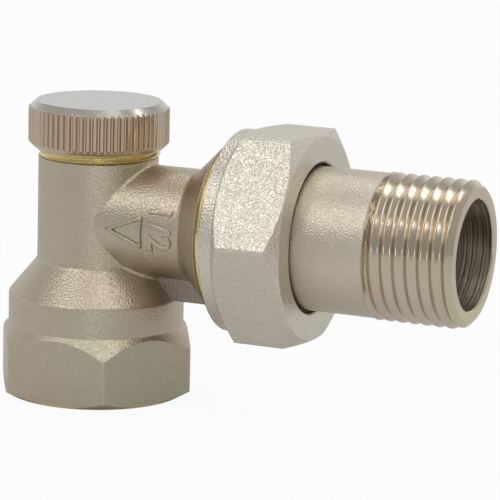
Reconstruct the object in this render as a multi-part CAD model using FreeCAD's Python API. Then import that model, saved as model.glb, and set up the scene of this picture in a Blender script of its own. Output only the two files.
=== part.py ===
import FreeCAD
import Part
import math
import os

# Angle-pattern manual radiator valve with a knurled protective cap and a screwed union tail.
# Millimetres. Origin at the centre of the inlet mouth, +Z up the spindle axis, +X along the tail.
# The valve is shown shut, with the cap and the union nut tight.
# The tail's thread is drawn as rings at its pitch. The other screw threads are plain cylinders: at the
# major diameter in the female threads, and at the root diameter on the neck and the spigot.

# Clearances
thread_clearance = 0.1
running_clearance = 0.1
seal_clearance = 0.05
stop_clearance = 0.2
nose_end_clearance = 0.3
spindle_end_clearance = 0.6

# Inlet socket with its hexagon and collar
inlet_thread_diameter = 20.955
inlet_thread_length = 11.0
inlet_lead_in = 0.45
inlet_hex_flats = 26.6
inlet_hex_corner_round = 0.8
base_rim_diameter = 26.3
base_chamfer_angle = 30.0
hex_shoulder_height = 10.25
hex_shoulder_angle = 49.0
collar_diameter = 25.7
collar_top_height = 14.65
collar_edge_round = 0.8

# Neck above the collar
neck_margin = 0.65
neck_foot_height = 19.65
neck_foot_round = 1.2
neck_land = 0.66
neck_thread_diameter = 18.0
neck_thread_depth = 0.55
neck_thread_length = 4.4
neck_top_chamfer = 0.4

# Waterway and seat in the body
passage_diameter = 16.0
passage_top_height = 14.65
seat_bore_diameter = 10.0
seat_cone_height = 2.6
seat_height = 20.15
seat_lip_width = 0.8
seat_lip_height = 0.6
branch_bore_diameter = 11.2

# Branch, web and outlet spigot
outlet_axis_height = 26.09
branch_diameter = 16.2
crease_round = 0.5
flare_start = 16.45
flare_start_round = 1.2
flare_end_diameter = 25.0
flare_angle = 45.0
spigot_thread_depth = 1.16
spigot_thread_diameter = 26.44
spigot_end = 29.2
spigot_end_chamfer = 0.5
web_thickness = 2.4
web_bottom_height = 14.8
throat_start = 18.6

# Headwork bush in the neck
bush_thread_diameter = 14.0
bush_length = 9.6
bush_flange_gap = 0.73
bush_flange_thickness = 1.2
bush_flange_chamfer = 0.3
bush_o_ring_section = 1.0
bush_o_ring_land = 0.4

# Spindle with its seals
spindle_thread_diameter = 11.0
spindle_thread_length = 3.2
spindle_shank_diameter = 9.0
spindle_edge_chamfer = 0.4
spindle_lift = 2.5
spindle_neck_diameter = 4.0
spindle_button_diameter = 6.0
spindle_button_height = 1.4
key_flats = 5.0
key_depth = 3.6
spindle_o_ring_section = 0.8
spindle_o_ring_land = 0.5
groove_side_play = 0.3

# Clack that swivels on the spindle
clack_diameter = 12.8
clack_flange_height = 1.5
clack_rim_width = 0.5
clack_rim_drop = 0.8
clack_floor = 2.3
clack_lip = 0.8
clack_boss_wall = 1.0
clack_to_spindle_gap = 0.4
clack_seal_thickness = 2.0
clack_screw_diameter = 2.5
clack_screw_head_diameter = 5.2
clack_screw_head_height = 1.2
clack_screw_grip = 1.6
clack_screw_slot_width = 0.7
clack_screw_slot_depth = 0.6

# Protective cap with its gasket
cap_height = 6.74
cap_top_wall = 1.74
cap_wall = 1.15
cap_top_chamfer_width = 1.16
cap_top_chamfer_height = 1.07
cap_rim_wall = 0.35
cap_rim_chamfer_height = 0.85
knurl_ridges = 64
knurl_depth = 0.36
knurl_crest_share = 0.38
knurl_root_share = 0.22
gasket_thickness = 0.8
gasket_gap = 0.3
gasket_width = 3.6

# Union nut
nut_flat_wall = 1.43
nut_corner_round = 0.7
nut_length = 12.13
nut_lip_thickness = 2.72
nut_lip_hole_gap = 0.3
nut_lip_hole_chamfer = 0.25
nut_shoulder_wall = 1.25
nut_shoulder_length = 1.8
nut_back_chamfer_angle = 35.0
nut_face_chamfer = 0.25
nut_face_chamfer_angle = 30.0
nut_mouth_chamfer = 0.6
nut_corner_angle = 27.9

# Union tail
tail_thread_diameter = 20.955
tail_thread_length = 12.9
tail_thread_pitch = 1.814
tail_thread_depth = 0.62
tail_thread_root_width = 0.16
tail_thread_flank_angle = 27.5
tail_tube_step = 0.18
tail_length = 29.04
tail_bore_diameter = 15.66
tail_end_chamfer_width = 1.0
tail_end_chamfer_length = 0.8
tail_collar_overlap = 1.12
tail_collar_thickness = 2.8
tail_nose_diameter = 20.4
tail_nose_length = 4.9
tail_nose_chamfer = 0.5
tail_o_ring_section = 1.3

UP = FreeCAD.Vector(0, 0, 1)
OUT = FreeCAD.Vector(1, 0, 0)


def rounded_wire(corners):
    """Closed wire through corners given as (point, rounding radius)."""
    starts = []
    middles = []
    ends = []
    for index, (point, radius) in enumerate(corners):
        to_before = (corners[index - 1][0] - point).normalize()
        to_after = (corners[(index + 1) % len(corners)][0] - point).normalize()
        half_angle = to_before.getAngle(to_after) / 2
        reach = radius / math.tan(half_angle)
        starts.append(point + to_before * reach)
        ends.append(point + to_after * reach)
        inward = to_before + to_after
        if radius:
            inward.normalize()
        middles.append(point + inward * (radius / math.sin(half_angle) - radius))
    edges = []
    for index, (point, radius) in enumerate(corners):
        if radius:
            edges.append(Part.Arc(starts[index], middles[index], ends[index]).toShape())
        edges.append(Part.makeLine(ends[index], starts[(index + 1) % len(corners)]))
    return Part.Wire(edges)


def turned(profile):
    """Solid turned about the spindle axis from (radius, height, rounding) or (radius, height) corners."""
    corners = [(FreeCAD.Vector(c[0], 0, c[1]), c[2] if len(c) > 2 else 0) for c in profile]
    face = Part.Face(rounded_wire(corners))
    return face.revolve(FreeCAD.Vector(0, 0, 0), UP, 360)


def turned_on_outlet(profile):
    """Solid turned about the outlet axis from (x, radius, rounding) or (x, radius) corners."""
    corners = [
        (FreeCAD.Vector(c[0], 0, outlet_axis_height + c[1]), c[2] if len(c) > 2 else 0) for c in profile
    ]
    face = Part.Face(rounded_wire(corners))
    return face.revolve(FreeCAD.Vector(0, 0, outlet_axis_height), OUT, 360)


def hexagon(flats, corner_round, height, bottom):
    """Hexagonal prism standing on the plane z = bottom, with one corner on +X."""
    corner_radius = flats / math.sqrt(3)
    corners = []
    for index in range(6):
        angle = math.radians(60 * index)
        point = FreeCAD.Vector(corner_radius * math.cos(angle), corner_radius * math.sin(angle), bottom)
        corners.append((point, corner_round))
    return Part.Face(rounded_wire(corners)).extrude(UP * height)


def ring_about(centre, axis, mean_radius, section):
    """O-ring of round section."""
    return Part.makeTorus(mean_radius, section / 2, centre, axis)


# Heights along the spindle axis, valve shut
neck_thread_foot_height = outlet_axis_height + branch_diameter / 2 + neck_land
neck_top_height = neck_thread_foot_height + neck_thread_length
clack_seal_top = seat_height + clack_seal_thickness
button_bottom = clack_seal_top + clack_floor
button_top = button_bottom + spindle_button_height
clack_pocket_top = button_top + running_clearance
clack_top = clack_pocket_top + clack_lip
spindle_thread_bottom = clack_top + clack_to_spindle_gap
spindle_thread_top = spindle_thread_bottom + spindle_thread_length
bush_shoulder = spindle_thread_top + spindle_lift + stop_clearance
bush_bottom = neck_top_height - bush_length
bush_flange_top = neck_top_height + bush_flange_thickness
cap_ceiling = bush_flange_top + gasket_thickness
cap_top = cap_ceiling + cap_top_wall
cap_bottom = cap_top - cap_height
spindle_top = cap_ceiling - spindle_lift - spindle_end_clearance

# Places along the outlet axis
nut_lip_face = spigot_end + tail_collar_thickness
nut_front = nut_lip_face + nut_lip_thickness
nut_back = nut_front - nut_length
tail_end = spigot_end + tail_length
tail_nose_end = spigot_end - tail_nose_length
socket_floor = tail_nose_end - nose_end_clearance
flare_end = flare_start + (flare_end_diameter - branch_diameter) / 2 / math.tan(math.radians(flare_angle))

# Radii shared by pieces that fit each other
neck_outer_radius = branch_diameter / 2 + neck_margin
neck_thread_root_radius = neck_thread_diameter / 2 - neck_thread_depth
cap_thread_radius = neck_thread_diameter / 2 + thread_clearance
cap_crest_radius = cap_thread_radius + cap_wall
cap_rim_radius = cap_thread_radius + cap_rim_wall
cap_flat_radius = cap_crest_radius - cap_top_chamfer_width
gasket_radius = cap_thread_radius - gasket_gap
bush_flange_corner_radius = cap_thread_radius - bush_flange_gap
spigot_root_radius = spigot_thread_diameter / 2 - spigot_thread_depth
nut_thread_radius = spigot_thread_diameter / 2 + thread_clearance
nut_flats = 2 * (nut_thread_radius + nut_flat_wall)
nut_shoulder_radius = nut_thread_radius + nut_shoulder_wall
nut_face_radius = nut_flats / 2 - nut_face_chamfer
nut_lip_hole_radius = tail_thread_diameter / 2 + nut_lip_hole_gap
tail_tube_radius = tail_thread_diameter / 2 - tail_tube_step
tail_collar_radius = nut_lip_hole_radius + tail_collar_overlap
neck_bore_radius = bush_thread_diameter / 2 + thread_clearance
gland_radius = spindle_shank_diameter / 2 + running_clearance
bush_thread_bore_radius = spindle_thread_diameter / 2 + thread_clearance
bush_groove_radius = neck_bore_radius - bush_o_ring_section - 2 * seal_clearance
spindle_groove_radius = gland_radius - spindle_o_ring_section - 2 * seal_clearance
tail_socket_radius = tail_nose_diameter / 2 + running_clearance
tail_groove_radius = tail_socket_radius - tail_o_ring_section - 2 * seal_clearance
clack_seal_radius = clack_diameter / 2 - clack_rim_width - seal_clearance
clack_pocket_radius = spindle_button_diameter / 2 + running_clearance
clack_lip_radius = spindle_neck_diameter / 2 + running_clearance
clack_screw_hole_radius = clack_screw_diameter / 2 + thread_clearance

# Groove places
bush_groove_width = bush_o_ring_section + groove_side_play
bush_groove_top = neck_top_height - bush_o_ring_land
bush_groove_bottom = bush_groove_top - bush_groove_width
spindle_groove_width = spindle_o_ring_section + groove_side_play
spindle_groove_tops = [
    spindle_top - spindle_o_ring_land,
    spindle_top - 2 * spindle_o_ring_land - spindle_groove_width,
]
tail_groove_width = tail_o_ring_section + groove_side_play
tail_groove_middle = spigot_end - tail_nose_length / 2


def valve_body():
    hex_corner_radius = inlet_hex_flats / math.sqrt(3)
    base_rim_radius = base_rim_diameter / 2
    collar_radius = collar_diameter / 2
    corner_foot = (hex_corner_radius - base_rim_radius) * math.tan(math.radians(base_chamfer_angle))
    corner_drop = (hex_corner_radius - collar_radius) * math.tan(math.radians(hex_shoulder_angle))
    column = turned([
        (0, 0),
        (base_rim_radius, 0),
        (hex_corner_radius, corner_foot),
        (hex_corner_radius, hex_shoulder_height - corner_drop),
        (collar_radius, hex_shoulder_height),
        (collar_radius, collar_top_height, collar_edge_round),
        (neck_outer_radius, neck_foot_height, neck_foot_round),
        (neck_outer_radius, neck_thread_foot_height),
        (neck_thread_root_radius, neck_thread_foot_height),
        (neck_thread_root_radius, neck_top_height - neck_top_chamfer),
        (neck_thread_root_radius - neck_top_chamfer, neck_top_height),
        (0, neck_top_height),
    ])
    column = column.common(hexagon(inlet_hex_flats, inlet_hex_corner_round, neck_top_height, 0))

    branch_radius = branch_diameter / 2
    branch = turned_on_outlet([
        (0, 0),
        (0, branch_radius),
        (flare_start, branch_radius, flare_start_round),
        (flare_end, flare_end_diameter / 2),
        (flare_end, spigot_root_radius),
        (spigot_end - spigot_end_chamfer, spigot_root_radius),
        (spigot_end, spigot_root_radius - spigot_end_chamfer),
        (spigot_end, 0),
    ])
    web_drop = outlet_axis_height - web_bottom_height
    web_end = flare_start + (web_drop - branch_radius) / math.tan(math.radians(flare_angle))
    web_corner = FreeCAD.Vector(0, -web_thickness / 2, web_bottom_height)
    web = Part.makeBox(web_end, web_thickness, web_drop, web_corner)
    outside = column.fuse(branch).removeSplitter()
    creases = [edge for edge in outside.Edges if is_crease(outside, edge)]
    return outside.makeFillet(crease_round, creases).fuse(web).cut(waterway()).removeSplitter()


def is_crease(solid, edge):
    """Whether an edge lies where the branch runs into the neck and its foot."""
    middle = edge.valueAt((edge.FirstParameter + edge.LastParameter) / 2)
    faces = solid.ancestorsOfType(edge, Part.Face)
    between_round_faces = len(faces) == 2 and not any(isinstance(face.Surface, Part.Plane) for face in faces)
    under_flare = middle.x > flare_start - flare_start_round
    return between_round_faces and middle.x > 0 and not under_flare and middle.z > web_bottom_height


def waterway():
    """Inlet thread, seat and headwork bore about the spindle axis, and the outlet bore and union socket."""
    inlet_radius = inlet_thread_diameter / 2 + thread_clearance
    seat_radius = seat_bore_diameter / 2
    lip_radius = seat_radius + seat_lip_width
    beyond = inlet_lead_in
    inlet = turned([
        (0, -beyond),
        (inlet_radius + inlet_lead_in + beyond, -beyond),
        (inlet_radius, inlet_lead_in),
        (inlet_radius, inlet_thread_length),
        (passage_diameter / 2, inlet_thread_length),
        (passage_diameter / 2, passage_top_height),
        (seat_radius, passage_top_height + seat_cone_height),
        (seat_radius, seat_height),
        (0, seat_height),
    ])
    chamber = turned([
        (0, seat_height),
        (lip_radius, seat_height),
        (lip_radius, seat_height - seat_lip_height),
        (neck_bore_radius, seat_height - seat_lip_height),
        (neck_bore_radius, neck_top_height + beyond),
        (0, neck_top_height + beyond),
    ])
    branch_bore_radius = branch_bore_diameter / 2
    tail_bore_radius = tail_bore_diameter / 2
    outlet = turned_on_outlet([
        (0, 0),
        (0, branch_bore_radius),
        (throat_start, branch_bore_radius),
        (throat_start + tail_bore_radius - branch_bore_radius, tail_bore_radius),
        (socket_floor, tail_bore_radius),
        (socket_floor, tail_socket_radius),
        (spigot_end + beyond, tail_socket_radius),
        (spigot_end + beyond, 0),
    ])
    return inlet.fuse([chamber, outlet])


def headwork_bush():
    thread_radius = bush_thread_diameter / 2
    flange_flats = bush_flange_corner_radius * math.sqrt(3)
    chamfered_flange = turned([
        (gland_radius, neck_top_height),
        (bush_flange_corner_radius, neck_top_height),
        (bush_flange_corner_radius, bush_flange_top - bush_flange_chamfer),
        (flange_flats / 2, bush_flange_top),
        (gland_radius, bush_flange_top),
    ])
    flange = chamfered_flange.common(hexagon(flange_flats, 0, bush_flange_thickness, neck_top_height))
    barrel = turned([
        (bush_thread_bore_radius, bush_bottom),
        (thread_radius, bush_bottom),
        (thread_radius, bush_groove_bottom),
        (bush_groove_radius, bush_groove_bottom),
        (bush_groove_radius, bush_groove_top),
        (thread_radius, bush_groove_top),
        (thread_radius, neck_top_height),
        (gland_radius, neck_top_height),
        (gland_radius, bush_shoulder),
        (bush_thread_bore_radius, bush_shoulder),
    ])
    return flange.fuse(barrel).removeSplitter()


def headwork_o_ring():
    mean_radius = (bush_groove_radius + neck_bore_radius) / 2
    middle = (bush_groove_bottom + bush_groove_top) / 2
    return ring_about(FreeCAD.Vector(0, 0, middle), UP, mean_radius, bush_o_ring_section)


def spindle():
    shank_radius = spindle_shank_diameter / 2
    thread_radius = spindle_thread_diameter / 2
    neck_radius = spindle_neck_diameter / 2
    button_radius = spindle_button_diameter / 2
    profile = [
        (0, button_bottom),
        (button_radius, button_bottom),
        (button_radius, button_top),
        (neck_radius, button_top),
        (neck_radius, spindle_thread_bottom),
        (thread_radius - spindle_edge_chamfer, spindle_thread_bottom),
        (thread_radius, spindle_thread_bottom + spindle_edge_chamfer),
        (thread_radius, spindle_thread_top - spindle_edge_chamfer),
        (thread_radius - spindle_edge_chamfer, spindle_thread_top),
        (shank_radius, spindle_thread_top),
    ]
    for groove_top in reversed(spindle_groove_tops):
        groove_bottom = groove_top - spindle_groove_width
        profile += [
            (shank_radius, groove_bottom),
            (spindle_groove_radius, groove_bottom),
            (spindle_groove_radius, groove_top),
            (shank_radius, groove_top),
        ]
    profile += [
        (shank_radius, spindle_top),
        (0, spindle_top),
    ]
    return turned(profile).cut(hexagon(key_flats, 0, key_depth, spindle_top - key_depth))


def spindle_o_ring(groove_top):
    mean_radius = (spindle_groove_radius + gland_radius) / 2
    middle = groove_top - spindle_groove_width / 2
    return ring_about(FreeCAD.Vector(0, 0, middle), UP, mean_radius, spindle_o_ring_section)


def clack():
    rim_inside_radius = clack_diameter / 2 - clack_rim_width
    boss_radius = clack_pocket_radius + clack_boss_wall
    rim_bottom = clack_seal_top - clack_rim_drop
    screw_hole_top = clack_seal_top + clack_screw_grip + thread_clearance
    return turned([
        (clack_screw_hole_radius, clack_seal_top),
        (rim_inside_radius, clack_seal_top),
        (rim_inside_radius, rim_bottom),
        (clack_diameter / 2, rim_bottom),
        (clack_diameter / 2, clack_seal_top + clack_flange_height),
        (boss_radius, clack_seal_top + clack_flange_height),
        (boss_radius, clack_top),
        (clack_lip_radius, clack_top),
        (clack_lip_radius, clack_pocket_top),
        (clack_pocket_radius, clack_pocket_top),
        (clack_pocket_radius, button_bottom),
        (0, button_bottom),
        (0, screw_hole_top),
        (clack_screw_hole_radius, screw_hole_top),
    ])


def clack_seal():
    return turned([
        (clack_screw_hole_radius, seat_height),
        (clack_seal_radius, seat_height),
        (clack_seal_radius, clack_seal_top),
        (clack_screw_hole_radius, clack_seal_top),
    ])


def clack_screw():
    head_radius = clack_screw_head_diameter / 2
    head_bottom = seat_height - clack_screw_head_height
    screw = turned([
        (0, head_bottom),
        (head_radius, head_bottom),
        (head_radius, seat_height),
        (clack_screw_diameter / 2, seat_height),
        (clack_screw_diameter / 2, clack_seal_top + clack_screw_grip),
        (0, clack_seal_top + clack_screw_grip),
    ])
    slot_corner = FreeCAD.Vector(-head_radius, -clack_screw_slot_width / 2, head_bottom)
    slot = Part.makeBox(2 * head_radius, clack_screw_slot_width, clack_screw_slot_depth, slot_corner)
    return screw.cut(slot)


def knurl_prism():
    """Prism with the straight ridges of the cap all round."""
    root_radius = cap_crest_radius - knurl_depth
    pitch = 2 * math.pi / knurl_ridges
    half_crest = pitch * knurl_crest_share / 2
    half_root = pitch * knurl_root_share / 2
    points = []
    for index in range(knurl_ridges):
        crest = index * pitch
        root = crest + pitch / 2
        for angle, radius in (
            (crest - half_crest, cap_crest_radius),
            (crest + half_crest, cap_crest_radius),
            (root - half_root, root_radius),
            (root + half_root, root_radius),
        ):
            points.append(FreeCAD.Vector(radius * math.cos(angle), radius * math.sin(angle), cap_bottom))
    outline = Part.makePolygon(points + points[:1])
    return Part.Face(outline).extrude(UP * cap_height)


def protective_cap():
    shell = turned([
        (cap_thread_radius, cap_bottom),
        (cap_rim_radius, cap_bottom),
        (cap_crest_radius, cap_bottom + cap_rim_chamfer_height),
        (cap_crest_radius, cap_top - cap_top_chamfer_height),
        (cap_flat_radius, cap_top),
        (0, cap_top),
        (0, cap_ceiling),
        (cap_thread_radius, cap_ceiling),
    ])
    return shell.common(knurl_prism())


def cap_gasket():
    hole_radius = gasket_radius - gasket_width
    return turned([
        (hole_radius, bush_flange_top),
        (gasket_radius, bush_flange_top),
        (gasket_radius, cap_ceiling),
        (hole_radius, cap_ceiling),
    ])


def union_nut():
    corner_radius = nut_flats / math.sqrt(3)
    back_set = (corner_radius - nut_shoulder_radius) * math.tan(math.radians(nut_back_chamfer_angle))
    face_set = (corner_radius - nut_face_radius) * math.tan(math.radians(nut_face_chamfer_angle))
    hex_start = nut_back + nut_shoulder_length
    nut = turned_on_outlet([
        (nut_back, nut_thread_radius + nut_mouth_chamfer),
        (nut_back, nut_shoulder_radius),
        (hex_start, nut_shoulder_radius),
        (hex_start + back_set, corner_radius),
        (nut_front - face_set, corner_radius),
        (nut_front, nut_face_radius),
        (nut_front, nut_lip_hole_radius + nut_lip_hole_chamfer),
        (nut_front - nut_lip_hole_chamfer, nut_lip_hole_radius),
        (nut_lip_face, nut_lip_hole_radius),
        (nut_lip_face, nut_thread_radius),
        (nut_back + nut_mouth_chamfer, nut_thread_radius),
    ])
    prism = hexagon(nut_flats, nut_corner_round, nut_length, 0)
    prism.rotate(FreeCAD.Vector(0, 0, 0), FreeCAD.Vector(0, 1, 0), 90)
    prism.rotate(FreeCAD.Vector(0, 0, 0), OUT, nut_corner_angle)
    prism.translate(FreeCAD.Vector(nut_back, 0, outlet_axis_height))
    return nut.common(prism)


def thread_rings(start, stop, radius):
    """Corners of the tail's thread rings, one groove to each whole pitch from start to stop."""
    root_radius = radius - tail_thread_depth
    half_root = tail_thread_root_width / 2
    half_groove = half_root + tail_thread_depth * math.tan(math.radians(tail_thread_flank_angle))
    corners = []
    for index in range(int((stop - start) / tail_thread_pitch)):
        middle = start + (index + 0.5) * tail_thread_pitch
        corners += [
            (middle - half_groove, radius),
            (middle - half_root, root_radius),
            (middle + half_root, root_radius),
            (middle + half_groove, radius),
        ]
    return corners


def union_tail():
    bore_radius = tail_bore_diameter / 2
    nose_radius = tail_nose_diameter / 2
    thread_radius = tail_thread_diameter / 2
    thread_start = tail_end - tail_thread_length
    thread_stop = tail_end - tail_end_chamfer_length
    groove_start = tail_groove_middle - tail_groove_width / 2
    groove_stop = tail_groove_middle + tail_groove_width / 2
    return turned_on_outlet([
        (tail_nose_end, bore_radius),
        (tail_nose_end, nose_radius - tail_nose_chamfer),
        (tail_nose_end + tail_nose_chamfer, nose_radius),
        (groove_start, nose_radius),
        (groove_start, tail_groove_radius),
        (groove_stop, tail_groove_radius),
        (groove_stop, nose_radius),
        (spigot_end, nose_radius),
        (spigot_end, tail_collar_radius),
        (nut_lip_face, tail_collar_radius),
        (nut_lip_face, tail_tube_radius),
        (thread_start, tail_tube_radius),
        (thread_start, thread_radius),
        *thread_rings(thread_start, thread_stop, thread_radius),
        (thread_stop, thread_radius),
        (tail_end, thread_radius - tail_end_chamfer_width),
        (tail_end, bore_radius),
    ])


def tail_o_ring():
    mean_radius = (tail_groove_radius + tail_socket_radius) / 2
    centre = FreeCAD.Vector(tail_groove_middle, 0, outlet_axis_height)
    return ring_about(centre, OUT, mean_radius, tail_o_ring_section)


def main():
    parts = {
        "valve_body": valve_body(),
        "headwork_bush": headwork_bush(),
        "headwork_o_ring": headwork_o_ring(),
        "spindle": spindle(),
        "spindle_o_ring_upper": spindle_o_ring(spindle_groove_tops[0]),
        "spindle_o_ring_lower": spindle_o_ring(spindle_groove_tops[1]),
        "clack": clack(),
        "clack_seal": clack_seal(),
        "clack_screw": clack_screw(),
        "protective_cap": protective_cap(),
        "cap_gasket": cap_gasket(),
        "union_nut": union_nut(),
        "union_tail": union_tail(),
        "tail_o_ring": tail_o_ring(),
    }
    os.makedirs("parts", exist_ok=True)
    for name, shape in parts.items():
        shape.exportStep(os.path.join("parts", name + ".step"))
        box = shape.BoundBox
        print(name, "valid", shape.isValid(), "solids", len(shape.Solids), "volume", round(shape.Volume, 1),
              "x", round(box.XMin, 2), round(box.XMax, 2), "z", round(box.ZMin, 2), round(box.ZMax, 2))


main()
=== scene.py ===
import math

import bmesh
import bpy
from mathutils import Matrix, Vector


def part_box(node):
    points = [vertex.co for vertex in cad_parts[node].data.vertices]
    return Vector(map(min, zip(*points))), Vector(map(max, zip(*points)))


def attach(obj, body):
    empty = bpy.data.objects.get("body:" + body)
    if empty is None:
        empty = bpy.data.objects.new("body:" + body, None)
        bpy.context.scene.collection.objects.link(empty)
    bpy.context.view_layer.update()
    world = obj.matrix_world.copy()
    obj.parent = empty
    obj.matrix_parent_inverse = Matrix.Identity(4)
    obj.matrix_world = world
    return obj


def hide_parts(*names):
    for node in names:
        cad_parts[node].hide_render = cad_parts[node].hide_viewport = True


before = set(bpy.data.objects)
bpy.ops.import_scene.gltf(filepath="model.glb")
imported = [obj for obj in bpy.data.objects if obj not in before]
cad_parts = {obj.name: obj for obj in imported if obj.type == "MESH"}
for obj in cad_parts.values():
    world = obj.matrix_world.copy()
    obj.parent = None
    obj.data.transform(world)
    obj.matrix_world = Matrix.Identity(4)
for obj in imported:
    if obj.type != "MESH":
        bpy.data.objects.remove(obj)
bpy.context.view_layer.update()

MM = 0.001
WHITE = (1.0, 1.0, 1.0, 1.0)

# Places read from the frame, in millimetres
tail_low, tail_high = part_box("union_tail")
body_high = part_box("valve_body")[1]
OUTLET_HEIGHT = (tail_low.z + tail_high.z) / 2 / MM
TAIL_END = tail_high.x / MM
TAIL_NOSE_END = tail_low.x / MM
NECK_TOP = body_high.z / MM
SPIGOT_END = body_high.x / MM
CAP_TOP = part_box("protective_cap")[1].z / MM

# Camera fitted to the photograph, in degrees and millimetres
CAMERA_AZIMUTH = 22.88
CAMERA_ELEVATION = 11.76
CAMERA_ROLL = 1.48
CAMERA_DISTANCE = 444.72
CAMERA_TARGET = Vector((20.0, 0.0, 24.65))
CAMERA_SLIDE_RIGHT = 3.91
CAMERA_SLIDE_DOWN = 1.76
SENSOR_WIDTH = 36.0
FOCAL_LENGTH = 222.67
CAMERA_NEAREST = 10.0
CAMERA_FARTHEST = 20000.0

# Tail with its pipe thread
PIPE_PITCH = 1.814
TAIL_THREAD_RADIUS = 10.4775
TAIL_THREAD_DEPTH = 0.62
TAIL_THREAD_LENGTH = 12.9
TAIL_THREAD_PHASE = -0.3
TAIL_THREAD_RUN_IN = 0.12 * PIPE_PITCH
TAIL_CHAMFER_WIDTH = 1.0
TAIL_CHAMFER_LENGTH = 0.8
TAIL_TUBE_RADIUS = 10.3
TAIL_TUBE_STEP_LENGTH = 0.2
TAIL_BORE_RADIUS = 7.83
TAIL_BORE_EDGE = 0.2
TAIL_COLLAR_RADIUS = 11.9
TAIL_COLLAR_THICKNESS = 2.8
TAIL_NOSE_RADIUS = 10.2
TAIL_NOSE_CHAMFER = 0.5
TAIL_GROOVE_RADIUS = 8.9
TAIL_GROOVE_WIDTH = 1.6
ON_BORE_WITHIN = 0.02

# Threads of the inlet, the neck and the spigot, each on a plain wall of the body
INLET_RADIUS = 10.5775
INLET_LEAD_IN = 0.45
INLET_THREAD_LENGTH = 11.0
INLET_THREAD_DEPTH = 0.9
NECK_THREAD_FOOT = 34.85
NECK_THREAD_ROOT = 8.45
NECK_THREAD_CREST = 9.0
NECK_PITCH = 1.0
NECK_END_CHAMFER = 0.4
SPIGOT_THREAD_START = 20.85
SPIGOT_THREAD_ROOT = 12.06
SPIGOT_THREAD_CREST = 13.22
SPIGOT_END_CHAMFER = 0.5
SLEEVE_STAND_OFF = 0.03
SLEEVE_BACKING = 0.1
SLEEVE_FADE_SHARE = 0.5

# Thread form over one pitch, between the middles of two grooves: place along the pitch, share of the depth
GROOVE_FORM = (
    (0.00, 1.00),
    (0.06, 0.97),
    (0.12, 0.87),
    (0.39, 0.13),
    (0.44, 0.03),
    (0.50, 0.00),
    (0.56, 0.03),
    (0.61, 0.13),
    (0.88, 0.87),
    (0.94, 0.97),
)

# Marks raised on the branch: corners as place along the branch and angle above its axis
BRANCH_RADIUS = 8.1
MARK_HEIGHT = 0.42
ARROW_CORNERS = ((5.6, -1.2), (10.6, 12.8), (10.5, -16.4))
ARROW_LINE_WIDTH = 0.52
ARROW_SIDE_STEPS = 14
SIZE_MARK_TEXT = "1/2"
SIZE_MARK_FOOT = 11.9
SIZE_MARK_TALL = 4.9
SIZE_MARK_TOP_ANGLE = 29.5
SIZE_MARK_SPACING = 1.15
SIZE_MARK_BOLDNESS = 0.24
SIZE_MARK_THINNING = -0.1
SIZE_MARK_WALL = MARK_HEIGHT / 4
SIZE_MARK_BEVEL_STEPS = 3
SIZE_MARK_CURVE_STEPS = 4

# Section of the arrow's line: share of the half width, share of the mark's height
ARROW_SECTION = ((-1.0, -0.08), (-0.6, 0.85), (0.0, 1.0), (0.6, 0.85), (1.0, -0.08))

# Meshes: columns round an axis, turns of thread past both ends, welding distance in metres, sharp edges
COLUMNS = 192
SPARE_TURNS = 3
WELD_DISTANCE = 1e-7
SHARP_ANGLE = 32.0

# Places where the colour changes: bare brass at the foot's lip, painted shade on the web under the branch,
# painted reflection on the cap's top and a painted highlight on its chamfer
COLOUR_BLEND = 0.2
BARE_LIP_HEIGHT = 0.2
WEB_START = 8.0
WEB_BOTTOM = 14.7
WEB_HALF_WIDTH = 1.25
WEB_TOP = 18.15
CAP_CHAMFER_FOOT = CAP_TOP - 1.07
CAP_CHAMFER_TOP = CAP_TOP - 0.05

# Colours
BODY_ROSY = (0.58, 0.48, 0.375, 1.0)
BODY_GREENISH = (0.535, 0.50, 0.375, 1.0)
NUT_PALE = (0.73, 0.685, 0.59, 1.0)
NUT_YELLOWISH = (0.70, 0.66, 0.54, 1.0)
TAIL_PALE = (0.68, 0.615, 0.51, 1.0)
TAIL_ROSY = (0.66, 0.58, 0.47, 1.0)
# Cap: painted reflection on the top and a painted highlight on the chamfer, over a rosy tone
CAP_TOP_PAINTED_REFLECTION = (0.54, 0.525, 0.50, 1.0)
CAP_CHAMFER_PAINTED_HIGHLIGHT = (0.60, 0.565, 0.50, 1.0)
CAP_ROSY = (0.56, 0.455, 0.345, 1.0)
THREAD_WARM = (0.575, 0.485, 0.365, 1.0)
THREAD_PALE = (0.62, 0.55, 0.445, 1.0)
THREAD_END_YELLOW = (0.60, 0.555, 0.37, 1.0)
# Painted shade for the web under the branch
WEB_PAINTED_SHADE = (0.34, 0.285, 0.245, 1.0)
BRASS = (0.84, 0.73, 0.44, 1.0)
BRASS_DARK = (0.72, 0.60, 0.32, 1.0)
# Tones of the tail's bore; the dark one is partly painted shade of the hollow
BORE_DARK_PAINTED_SHADE = (0.18, 0.15, 0.11, 1.0)
BORE_LIGHT = (0.68, 0.60, 0.48, 1.0)
RUBBER_BLACK = (0.012, 0.012, 0.012, 1.0)
RUBBER_GREY = (0.03, 0.03, 0.03, 1.0)
FLOOR_DARKER = (0.73, 0.73, 0.73, 1.0)
FLOOR_LIGHTER = (0.77, 0.77, 0.77, 1.0)

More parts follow.
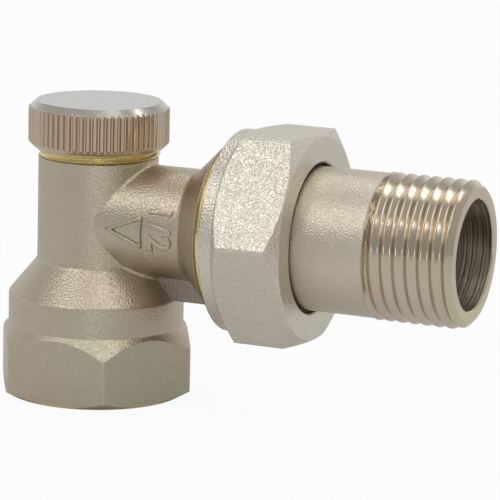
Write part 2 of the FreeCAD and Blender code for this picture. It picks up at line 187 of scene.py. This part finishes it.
# Textures: noise scales per metre, the part of the noise that is used, heights in millimetres
DRIFT_SCALE = 90.0
DRIFT_USED = (0.35, 0.65)
NOISE_USED = (0.3, 0.7)
FLECK_SCALE = 3200.0
FLECK_DARKENS = 0.06
FLECK_LIGHTENS = 0.04
GLOSS_SCALE = 3100.0
GRAIN_HEIGHT = 0.1
TOOL_MARKS_ROUND_X = (2600.0, 60.0, 60.0)
TOOL_MARK_HEIGHT = 0.16
TOOL_MARK_DETAIL = 3.0
TOOL_MARK_ROUGHNESS = 0.6
RUBBER_TONE_SCALE = 400.0
RUBBER_GLOSS = (0.5, 0.7)
RUBBER_GRAIN_SCALE = 3000.0
RUBBER_GRAIN_STRENGTH = 0.1
RUBBER_GRAIN_HEIGHT = 0.05
FLOOR_TONE_SCALE = 60.0
FLOOR_ROUGHNESS = 0.9
BEVEL_SAMPLES = 6

# Sockets of the Mix node, which has one pair for each kind of value
MIX_FACTOR = 0
MIX_NUMBERS = (2, 3)
MIX_NUMBER_RESULT = 0
MIX_COLOURS = (6, 7)
MIX_COLOUR_RESULT = 2


class Nodes:
    """Small helper that builds a node graph."""

    def __init__(self, tree):
        self.tree = tree

    def node(self, kind, **settings):
        made = self.tree.nodes.new(kind)
        for key, value in settings.items():
            setattr(made, key, value)
        return made

    def join(self, output, socket):
        self.tree.links.new(output, socket)

    def feed(self, socket, value):
        """Links an output to a socket, or sets a plain value on it."""
        if isinstance(value, bpy.types.NodeSocket):
            self.join(value, socket)
        else:
            socket.default_value = value

    def coordinates(self):
        return self.node("ShaderNodeTexCoord").outputs["Object"]

    def stretched(self, vector, scale):
        mapping = self.node("ShaderNodeMapping")
        self.join(vector, mapping.inputs["Vector"])
        mapping.inputs["Scale"].default_value = scale
        return mapping.outputs["Vector"]

    def parts(self, vector):
        """A vector's X, Y and Z as separate outputs."""
        made = self.node("ShaderNodeSeparateXYZ")
        self.join(vector, made.inputs[0])
        return made.outputs

    def place(self):
        """Object coordinates in millimetres, as separate X, Y and Z outputs."""
        return self.parts(self.stretched(self.coordinates(), (1 / MM, 1 / MM, 1 / MM)))

    def noise(self, vector, scale, detail=2.0, roughness=0.5):
        noise = self.node("ShaderNodeTexNoise")
        self.join(vector, noise.inputs["Vector"])
        noise.inputs["Scale"].default_value = scale
        noise.inputs["Detail"].default_value = detail
        noise.inputs["Roughness"].default_value = roughness
        return noise.outputs["Fac"]

    def spread(self, value, source, target, curve="LINEAR"):
        """Maps the range source of a value onto the range target."""
        made = self.node("ShaderNodeMapRange", interpolation_type=curve)
        self.feed(made.inputs["Value"], value)
        for name, number in zip(("From Min", "From Max"), source):
            self.feed(made.inputs[name], number)
        for name, number in zip(("To Min", "To Max"), target):
            self.feed(made.inputs[name], number)
        return made.outputs["Result"]

    def math(self, operation, first, second=0.0):
        made = self.node("ShaderNodeMath", operation=operation)
        self.feed(made.inputs[0], first)
        self.feed(made.inputs[1], second)
        return made.outputs[0]

    def blend(self, factor, first, second):
        """Number between two numbers."""
        made = self.node("ShaderNodeMix")
        self.feed(made.inputs[MIX_FACTOR], factor)
        for index, value in zip(MIX_NUMBERS, (first, second)):
            self.feed(made.inputs[index], value)
        return made.outputs[MIX_NUMBER_RESULT]

    def mix(self, factor, first, second, blend="MIX"):
        """Colour between two colours, or the second laid over the first."""
        made = self.node("ShaderNodeMix", data_type="RGBA", blend_type=blend)
        self.feed(made.inputs[MIX_FACTOR], factor)
        for index, value in zip(MIX_COLOURS, (first, second)):
            self.feed(made.inputs[index], value)
        return made.outputs[MIX_COLOUR_RESULT]

    def bump(self, height, strength, distance, normal=None):
        made = self.node("ShaderNodeBump")
        self.join(height, made.inputs["Height"])
        self.feed(made.inputs["Strength"], strength)
        made.inputs["Distance"].default_value = distance
        if normal:
            self.join(normal, made.inputs["Normal"])
        return made.outputs["Normal"]

    def rounded_edges(self, radius):
        made = self.node("ShaderNodeBevel", samples=BEVEL_SAMPLES)
        made.inputs["Radius"].default_value = radius
        return made.outputs["Normal"]


class Surface(Nodes):
    """Node graph of a new material, with its shader at hand."""

    def __init__(self, name):
        self.material = bpy.data.materials.new(name)
        self.material.use_nodes = True
        super().__init__(self.material.node_tree)
        self.shader = self.tree.nodes["Principled BSDF"]

    def colour(self):
        """What feeds the shader's colour so far."""
        return self.shader.inputs["Base Color"].links[0].from_socket

    def set(self, name, value):
        self.feed(self.shader.inputs[name], value)


def metal(name, colours, grain, gloss, edge=0.2, pit=0.2, tool_marks=None):
    """Plated or bare metal: colour drift, fine blasted grain, softened edges and uneven gloss.

    grain is the strength of the blasted texture and pit its size, gloss the lowest and highest roughness,
    and edge the radius that edges seem to have. tool_marks stretches the noise of turned faces along X, Y
    and Z. Sizes are in millimetres.
    """
    graph = Surface(name)
    where = graph.coordinates()
    drift = graph.spread(graph.noise(where, DRIFT_SCALE), DRIFT_USED, (0.0, 1.0))
    colour = graph.mix(drift, *colours)
    fleck = graph.noise(where, FLECK_SCALE, detail=1.0)
    shades = (1.0 - FLECK_DARKENS * grain, 1.0 + FLECK_LIGHTENS * grain)
    colour = graph.mix(1.0, colour, graph.spread(fleck, NOISE_USED, shades), blend="MULTIPLY")
    graph.set("Base Color", colour)
    graph.set("Metallic", 1.0)
    uneven = graph.noise(where, GLOSS_SCALE, detail=1.0)
    graph.set("Roughness", graph.spread(uneven, NOISE_USED, gloss))
    normal = graph.rounded_edges(edge * MM)
    pits = graph.noise(where, 1 / (pit * MM), detail=0.0)
    normal = graph.bump(pits, grain, GRAIN_HEIGHT * MM, normal)
    if tool_marks:
        turned = graph.stretched(where, tool_marks)
        marks = graph.noise(turned, 1.0, detail=TOOL_MARK_DETAIL, roughness=TOOL_MARK_ROUGHNESS)
        normal = graph.bump(marks, 1.0, TOOL_MARK_HEIGHT * MM, normal)
    graph.set("Normal", normal)
    return graph


def body_nickel():
    """Blasted plate, with painted shade on the web under the branch, bare at the foot's lip."""
    graph = metal("body_nickel", (BODY_ROSY, BODY_GREENISH), grain=0.65, gloss=(0.31, 0.41), pit=0.24)
    place = graph.place()
    # Mask of the web under the branch, where shade is painted into the colour
    web = graph.math("LESS_THAN", graph.math("ABSOLUTE", place["Y"]), WEB_HALF_WIDTH)
    outward = graph.math("GREATER_THAN", place["X"], WEB_START)
    above = graph.math("GREATER_THAN", place["Z"], WEB_BOTTOM)
    below = graph.math("LESS_THAN", place["Z"], WEB_TOP)
    for side in (outward, above, below):
        web = graph.math("MULTIPLY", web, side)
    colour = graph.mix(web, graph.colour(), WEB_PAINTED_SHADE)
    lip = graph.spread(place["Z"], (BARE_LIP_HEIGHT, BARE_LIP_HEIGHT + COLOUR_BLEND), (1.0, 0.0))
    graph.set("Base Color", graph.mix(lip, colour, BRASS_DARK))
    return graph


def nut_nickel():
    return metal("nut_nickel", (NUT_PALE, NUT_YELLOWISH), grain=0.95, gloss=(0.28, 0.38), pit=0.26)


def tail_nickel():
    return metal("tail_nickel", (TAIL_PALE, TAIL_ROSY), grain=0.6, gloss=(0.33, 0.43), pit=0.19)


def cap_nickel():
    """Painted reflection in grey on the turned top and a paler painted highlight on its chamfer, over a
    rosy tone down the knurl.
    """
    graph = metal("cap_nickel", (CAP_ROSY, CAP_ROSY), grain=0.03, gloss=(0.16, 0.24), edge=0.12)
    colour = graph.colour()
    height = graph.place()["Z"]
    # Painted highlight from the chamfer's foot up, then painted reflection on the top
    for foot, painted_tint in ((CAP_CHAMFER_FOOT, CAP_CHAMFER_PAINTED_HIGHLIGHT), (CAP_CHAMFER_TOP - COLOUR_BLEND, CAP_TOP_PAINTED_REFLECTION)):
        above = graph.spread(height, (foot, foot + COLOUR_BLEND), (0.0, 1.0))
        colour = graph.mix(above, colour, painted_tint)
    graph.set("Base Color", colour)
    return graph


def thread_nickel():
    """Bright cut thread, a little yellower low on the chamfered end."""
    graph = metal("thread_nickel", (THREAD_WARM, THREAD_PALE), grain=0.03, gloss=(0.14, 0.2), edge=0.05)
    place = graph.place()
    near_end = graph.math("GREATER_THAN", place["X"], TAIL_END - TAIL_CHAMFER_LENGTH)
    low = graph.spread(place["Z"], (OUTLET_HEIGHT - TAIL_BORE_RADIUS, OUTLET_HEIGHT), (1.0, 0.0))
    yellow_low_end = graph.math("MULTIPLY", near_end, low)
    graph.set("Base Color", graph.mix(yellow_low_end, graph.colour(), THREAD_END_YELLOW))
    return graph


def bare_brass():
    return metal("bare_brass", (BRASS, BRASS_DARK), grain=0.05, gloss=(0.24, 0.34), edge=0.05)


def bore_metal():
    # Random mix of the bore's tones, the darker one partly painted shade inside the hollow
    colours = (BORE_DARK_PAINTED_SHADE, BORE_LIGHT)
    return metal("bore_metal", colours, grain=0.1, gloss=(0.4, 0.55), tool_marks=TOOL_MARKS_ROUND_X)


def seal_rubber():
    graph = Surface("seal_rubber_black")
    where = graph.coordinates()
    tone = graph.spread(graph.noise(where, RUBBER_TONE_SCALE), NOISE_USED, (0.0, 1.0))
    graph.set("Base Color", graph.mix(tone, RUBBER_BLACK, RUBBER_GREY))
    graph.set("Roughness", graph.spread(tone, (0.0, 1.0), RUBBER_GLOSS))
    grain = graph.noise(where, RUBBER_GRAIN_SCALE)
    graph.set("Normal", graph.bump(grain, RUBBER_GRAIN_STRENGTH, RUBBER_GRAIN_HEIGHT * MM))
    return graph


BODY = body_nickel().material
NUT = nut_nickel().material
TAIL = tail_nickel().material
CAP = cap_nickel().material
THREAD = thread_nickel().material
BRASS_METAL = bare_brass().material
BORE = bore_metal().material
RUBBER = seal_rubber().material

BRASS_NODES = ("headwork_bush", "spindle", "clack", "clack_screw")
RUBBER_NODES = (
    "clack_seal",
    "headwork_o_ring",
    "spindle_o_ring_upper",
    "spindle_o_ring_lower",
    "tail_o_ring",
    "cap_gasket",
)


def paint(node, material):
    """Gives a CAD node's object one material."""
    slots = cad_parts[node].data.materials
    slots.clear()
    slots.append(material)


paint("valve_body", BODY)
paint("union_nut", NUT)
paint("protective_cap", CAP)
for node in BRASS_NODES:
    paint(node, BRASS_METAL)
for node in RUBBER_NODES:
    paint(node, RUBBER)


def placed(name, data):
    """Object of that name in the scene."""
    made = bpy.data.objects.new(name, data)
    bpy.context.scene.collection.objects.link(made)
    return made


def smooth_step(value):
    held = min(max(value, 0.0), 1.0)
    return held * held * (3 - 2 * held)


def thread_rows(start, end, pitch, radius_at, phase=0.0):
    """Rows of a right-hand thread between two places on its axis.

    radius_at(place, groove_share) gives the radius. Each row holds one (place, radius) for each column,
    moved on by a pitch over a turn, and kept between start and end. phase moves the thread on, in pitches.
    """
    rows = []
    turns = math.ceil((end - start) / pitch) + SPARE_TURNS
    for turn in range(turns):
        for part, share in GROOVE_FORM:
            row = []
            for column in range(COLUMNS + 1):
                place = start + pitch * (turn - 1 + part + phase + column / COLUMNS)
                place = min(max(place, start), end)
                row.append((place, radius_at(place, share)))
            rows.append(row)
    return rows


def plain_row(place, radius):
    return [(place, radius)] * (COLUMNS + 1)


def swept_piece(name, rows, to_world, materials, material_at):
    """Closed piece through rows about an axis.

    to_world turns (place, radius, angle) into a point in metres, and material_at gives the number of a
    face's material from its middle.
    """
    shape = bmesh.new()
    grid = []
    for row in rows:
        grid.append([
            shape.verts.new(to_world(place, radius, 2 * math.pi * column / COLUMNS))
            for column, (place, radius) in enumerate(row)
        ])
    for index, row in enumerate(grid):
        after = grid[(index + 1) % len(grid)]
        for column in range(COLUMNS):
            shape.faces.new((row[column], row[column + 1], after[column + 1], after[column]))
    bmesh.ops.remove_doubles(shape, verts=shape.verts, dist=WELD_DISTANCE)
    bmesh.ops.dissolve_degenerate(shape, edges=shape.edges, dist=WELD_DISTANCE)
    bmesh.ops.recalc_face_normals(shape, faces=shape.faces)
    for face in shape.faces:
        face.smooth = True
        face.material_index = material_at(face.calc_center_median())
    mesh = bpy.data.meshes.new(name)
    shape.to_mesh(mesh)
    shape.free()
    mesh.set_sharp_from_angle(angle=math.radians(SHARP_ANGLE))
    for material in materials:
        mesh.materials.append(material)
    return placed(name, mesh)


def about_outlet(place, radius, angle):
    return Vector((place, radius * math.cos(angle), OUTLET_HEIGHT + radius * math.sin(angle))) * MM


def about_spindle(place, radius, angle):
    return Vector((radius * math.cos(angle), radius * math.sin(angle), place)) * MM


def tail_piece():
    """The union tail with its cut thread, run out at the tube and chamfered at the end."""
    thread_start = TAIL_END - TAIL_THREAD_LENGTH
    face_radius = TAIL_THREAD_RADIUS - TAIL_CHAMFER_WIDTH
    nose_middle = (TAIL_NOSE_END + SPIGOT_END) / 2
    groove_back = nose_middle - TAIL_GROOVE_WIDTH / 2
    groove_front = nose_middle + TAIL_GROOVE_WIDTH / 2
    collar_front = SPIGOT_END + TAIL_COLLAR_THICKNESS
    tube, thread, bore = range(3)

    def radius_at(place, share):
        cut = smooth_step((place - thread_start) / TAIL_THREAD_RUN_IN)
        radius = TAIL_THREAD_RADIUS - TAIL_THREAD_DEPTH * share * cut
        chamfer = face_radius + (TAIL_END - place) * TAIL_CHAMFER_WIDTH / TAIL_CHAMFER_LENGTH
        return min(radius, chamfer)

    def material_at(point):
        place = point.x / MM
        radius = math.hypot(point.y, point.z - OUTLET_HEIGHT * MM) / MM
        if radius < TAIL_BORE_RADIUS + ON_BORE_WITHIN and place < TAIL_END - TAIL_BORE_EDGE / 2:
            return bore
        return thread if place > thread_start else tube

    corners = (
        (TAIL_NOSE_END, TAIL_BORE_RADIUS),
        (TAIL_NOSE_END, TAIL_NOSE_RADIUS - TAIL_NOSE_CHAMFER),
        (TAIL_NOSE_END + TAIL_NOSE_CHAMFER, TAIL_NOSE_RADIUS),
        (groove_back, TAIL_NOSE_RADIUS),
        (groove_back, TAIL_GROOVE_RADIUS),
        (groove_front, TAIL_GROOVE_RADIUS),
        (groove_front, TAIL_NOSE_RADIUS),
        (SPIGOT_END, TAIL_NOSE_RADIUS),
        (SPIGOT_END, TAIL_COLLAR_RADIUS),
        (collar_front, TAIL_COLLAR_RADIUS),
        (collar_front, TAIL_TUBE_RADIUS),
        (thread_start - TAIL_TUBE_STEP_LENGTH, TAIL_TUBE_RADIUS),
    )
    rows = [plain_row(*corner) for corner in corners]
    rows += thread_rows(thread_start, TAIL_END, PIPE_PITCH, radius_at, TAIL_THREAD_PHASE)
    rows += [
        plain_row(TAIL_END, TAIL_BORE_RADIUS + TAIL_BORE_EDGE),
        plain_row(TAIL_END - TAIL_BORE_EDGE, TAIL_BORE_RADIUS),
    ]
    piece = swept_piece("threaded_tail", rows, about_outlet, (TAIL, THREAD, BORE), material_at)
    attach(piece, "tail")
    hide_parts("union_tail")


def thread_sleeve(name, start, end, pitch, wall, crest, to_world):
    """Brass thread on a plain round wall of the body, between two places on its axis.

    wall and crest are the radii of the wall and of the thread's crests, which lie inside a female wall.
    """
    outward = 1 if crest > wall else -1
    root = wall + outward * SLEEVE_STAND_OFF
    backing = wall - outward * SLEEVE_BACKING
    fade = SLEEVE_FADE_SHARE * pitch

    def radius_at(place, share):
        ends = smooth_step((place - start) / fade) * smooth_step((end - place) / fade)
        return root + (crest - root) * (1 - share) * ends

    rows = [plain_row(start, backing), plain_row(start, root)]
    rows += thread_rows(start, end, pitch, radius_at)
    rows += [plain_row(end, root), plain_row(end, backing)]
    piece = swept_piece(name, rows, to_world, (BRASS_METAL,), lambda point: 0)
    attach(piece, "valve")


def on_branch(place, angle, lift):
    """Point on the near side of the branch; angle is in degrees above the level of its axis."""
    turn = math.radians(angle)
    radius = BRANCH_RADIUS + lift
    return Vector((place, -radius * math.cos(turn), OUTLET_HEIGHT + radius * math.sin(turn))) * MM


# Length on the branch, in millimetres, of one degree round its axis
ARC_PER_DEGREE = BRANCH_RADIUS * math.radians(1)


def arrow_outline():
    """Points round the triangle on the unrolled branch, each with the way out across its line."""
    corners = [Vector((place, angle * ARC_PER_DEGREE)) for place, angle in ARROW_CORNERS]
    middle = (corners[0] + corners[1] + corners[2]) / 3
    outline = []
    for index, corner in enumerate(corners):
        along = corners[(index + 1) % len(corners)] - corner
        before = (corners[index - 1] - corner).normalized()
        after = along.normalized()
        half_opening = before.angle(after) / 2
        mitre = -(before + after).normalized() / math.sin(half_opening)
        side = Vector((along.y, -along.x)).normalized()
        if side.dot(corner - middle) < 0:
            side = -side
        outline.append((corner, mitre))
        for step in range(1, ARROW_SIDE_STEPS):
            outline.append((corner + along * (step / ARROW_SIDE_STEPS), side))
    return outline


def flow_arrow():
    """Raised outline of a triangle that points against the tail."""
    half_width = ARROW_LINE_WIDTH / 2
    shape = bmesh.new()
    loops = []
    for point, side in arrow_outline():
        loop = []
        for across, height in ARROW_SECTION:
            spot = point + side * (across * half_width)
            loop.append(shape.verts.new(on_branch(spot.x, spot.y / ARC_PER_DEGREE, height * MARK_HEIGHT)))
        loops.append(loop)
    for index, loop in enumerate(loops):
        after = loops[(index + 1) % len(loops)]
        for corner in range(len(ARROW_SECTION)):
            following = (corner + 1) % len(ARROW_SECTION)
            shape.faces.new((loop[corner], after[corner], after[following], loop[following]))
    bmesh.ops.recalc_face_normals(shape, faces=shape.faces)
    for face in shape.faces:
        face.smooth = True
    mesh = bpy.data.meshes.new("flow_arrow")
    shape.to_mesh(mesh)
    shape.free()
    mesh.materials.append(BODY)
    piece = placed("flow_arrow", mesh)
    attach(piece, "valve")


def size_mark():
    """Plain pipe size raised on the branch, read from above downwards."""
    words = bpy.data.curves.new("size_mark_outline", "FONT")
    words.body = SIZE_MARK_TEXT
    words.size = SIZE_MARK_TALL
    words.space_character = SIZE_MARK_SPACING
    words.extrude = SIZE_MARK_WALL
    words.offset = SIZE_MARK_THINNING
    words.bevel_depth = SIZE_MARK_BOLDNESS
    words.bevel_resolution = SIZE_MARK_BEVEL_STEPS
    words.resolution_u = SIZE_MARK_CURVE_STEPS
    carrier = placed("size_mark_outline", words)
    bpy.context.view_layer.update()
    solved = carrier.evaluated_get(bpy.context.evaluated_depsgraph_get())
    mesh = bpy.data.meshes.new_from_object(solved)
    bpy.data.objects.remove(carrier)
    bpy.data.curves.remove(words)
    mesh.name = "size_mark"
    for vertex in mesh.vertices:
        across, tall, lift = vertex.co
        angle = SIZE_MARK_TOP_ANGLE - across / ARC_PER_DEGREE
        vertex.co = on_branch(SIZE_MARK_FOOT + tall, angle, lift)
    mesh.materials.clear()
    mesh.materials.append(BODY)
    piece = placed("size_mark", mesh)
    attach(piece, "valve")


tail_piece()
thread_sleeve("neck_thread", NECK_THREAD_FOOT, NECK_TOP - NECK_END_CHAMFER, NECK_PITCH,
              NECK_THREAD_ROOT, NECK_THREAD_CREST, about_spindle)
thread_sleeve("spigot_thread", SPIGOT_THREAD_START, SPIGOT_END - SPIGOT_END_CHAMFER, PIPE_PITCH,
              SPIGOT_THREAD_ROOT, SPIGOT_THREAD_CREST, about_outlet)
thread_sleeve("inlet_thread", INLET_LEAD_IN, INLET_THREAD_LENGTH, PIPE_PITCH,
              INLET_RADIUS, INLET_RADIUS - INLET_THREAD_DEPTH, about_spindle)
flow_arrow()
size_mark()


# Floor: half its side in metres, and the share of plain white in it, seen straight and in reflections
FLOOR_REACH = 3.0
FLOOR_WHITE_SEEN = 0.93
FLOOR_WHITE_MIRRORED = 0.1


def floor_paper():
    """Pale paper that reads as white and keeps a soft shadow."""
    graph = Surface("floor_paper")
    where = graph.coordinates()
    graph.set("Base Color", graph.mix(graph.noise(where, FLOOR_TONE_SCALE), FLOOR_DARKER, FLOOR_LIGHTER))
    graph.set("Roughness", FLOOR_ROUGHNESS)
    rays = graph.node("ShaderNodeLightPath").outputs
    direct = graph.math("MAXIMUM", rays["Is Camera Ray"], rays["Is Transmission Ray"])
    direct = graph.math("MULTIPLY", direct, FLOOR_WHITE_SEEN)
    mirrored = graph.math("MULTIPLY", rays["Is Glossy Ray"], FLOOR_WHITE_MIRRORED)
    white = graph.node("ShaderNodeEmission")
    white.inputs["Color"].default_value = WHITE
    both = graph.node("ShaderNodeMixShader")
    graph.join(graph.math("MAXIMUM", direct, mirrored), both.inputs[0])
    graph.join(graph.shader.outputs[0], both.inputs[1])
    graph.join(white.outputs[0], both.inputs[2])
    graph.join(both.outputs[0], graph.tree.nodes["Material Output"].inputs["Surface"])
    return graph.material


def studio_floor():
    """Plain square floor under the object."""
    mesh = bpy.data.meshes.new("floor")
    shape = bmesh.new()
    outline = ((-1, -1), (1, -1), (1, 1), (-1, 1))
    shape.faces.new([shape.verts.new((x * FLOOR_REACH, y * FLOOR_REACH, 0)) for x, y in outline])
    shape.to_mesh(mesh)
    shape.free()
    floor = placed("floor", mesh)
    mesh.materials.append(floor_paper())


studio_floor()


def direction(azimuth, elevation):
    """Unit vector for an azimuth, 0 on the side of -Y and 90 on that of +X, and an elevation in degrees."""
    turn = math.radians(azimuth)
    rise = math.radians(elevation)
    return Vector((math.sin(turn) * math.cos(rise), -math.cos(turn) * math.cos(rise), math.sin(rise)))


def camera_axes():
    """The camera's right, up and backward directions."""
    roll = math.radians(CAMERA_ROLL)
    back = direction(CAMERA_AZIMUTH, CAMERA_ELEVATION)
    right = direction(CAMERA_AZIMUTH + 90, 0)
    up = back.cross(right)
    return (
        right * math.cos(roll) + up * math.sin(roll),
        up * math.cos(roll) - right * math.sin(roll),
        back,
    )


def camera():
    right, up, back = camera_axes()
    data = bpy.data.cameras.new("photo_camera")
    data.sensor_width = SENSOR_WIDTH
    data.lens = FOCAL_LENGTH
    data.clip_start = CAMERA_NEAREST * MM
    data.clip_end = CAMERA_FARTHEST * MM
    made = placed("photo_camera", data)
    spot = CAMERA_TARGET + back * CAMERA_DISTANCE + right * CAMERA_SLIDE_RIGHT - up * CAMERA_SLIDE_DOWN
    made.matrix_world = Matrix.Translation(spot * MM) @ Matrix((right, up, back)).transposed().to_4x4()
    bpy.context.scene.camera = made


camera()

# Soft boxes: azimuth and elevation in degrees, side in metres and radiance
LIGHT_CENTRE = Vector((0.02, 0.0, 0.025))
LIGHT_DISTANCE = 0.7
SOFT_BOXES = (
    ("front_left_box", 332.0, 44.0, 0.44, 0.9),
    ("front_left_lamp", 330.0, 44.5, 0.055, 13.0),
    ("back_box", 200.0, 66.0, 0.34, 1.4),
    ("right_top_box", 50.0, 66.0, 0.42, 1.15),
    ("back_right_box", 131.0, 50.0, 0.22, 2.0),
    ("front_low_box", 23.0, 5.0, 0.12, 4.0),
    ("right_box", 75.0, 30.0, 0.11, 3.2),
)


def soft_box(name, azimuth, elevation, side, radiance):
    """Square lamp that faces the object and that the camera doesn't see."""
    data = bpy.data.lights.new(name, "AREA")
    data.shape = "SQUARE"
    data.size = side
    data.energy = radiance * math.pi * side * side
    made = placed(name, data)
    away = direction(azimuth, elevation)
    turn = away.to_track_quat("Z", "Y").to_matrix().to_4x4()
    made.matrix_world = Matrix.Translation(LIGHT_CENTRE + away * LIGHT_DISTANCE) @ turn
    made.visible_camera = False


for box in SOFT_BOXES:
    soft_box(*box)


# Brightness of the room behind the object, on the camera's side, overhead and where the camera sees it
ROOM_BEHIND = 0.82
ROOM_IN_FRONT = 0.4
ROOM_OVERHEAD = 0.5
ROOM_SEEN = 1.0
# Where that brightness changes: along the level way to the camera, and with height
ROOM_TURNS = (-0.3, 0.7)
ROOM_RISES = (0.15, 0.65)


def studio_world():
    """Pale room, dimmer on the camera's side and overhead, and white where the camera sees it."""
    world = bpy.data.worlds.new("studio")
    bpy.context.scene.world = world
    world.use_nodes = True
    world.node_tree.nodes.clear()
    graph = Nodes(world.node_tree)
    way = graph.node("ShaderNodeTexCoord").outputs["Generated"]
    towards = graph.node("ShaderNodeVectorMath", operation="DOT_PRODUCT")
    graph.join(way, towards.inputs[0])
    towards.inputs[1].default_value = direction(CAMERA_AZIMUTH, 0)
    height = graph.parts(way)["Z"]
    overhead = graph.spread(height, ROOM_RISES, (0.0, 1.0), curve="SMOOTHSTEP")
    levels = (ROOM_BEHIND, ROOM_IN_FRONT)
    around = graph.spread(towards.outputs["Value"], ROOM_TURNS, levels, curve="SMOOTHSTEP")
    level = graph.blend(overhead, around, ROOM_OVERHEAD)
    seen = graph.node("ShaderNodeLightPath").outputs["Is Camera Ray"]
    room = graph.node("ShaderNodeBackground")
    room.inputs["Color"].default_value = WHITE
    graph.join(graph.blend(seen, level, ROOM_SEEN), room.inputs["Strength"])
    graph.join(room.outputs[0], graph.node("ShaderNodeOutputWorld").inputs["Surface"])


studio_world()
bpy.context.scene.view_settings.view_transform = "Standard"
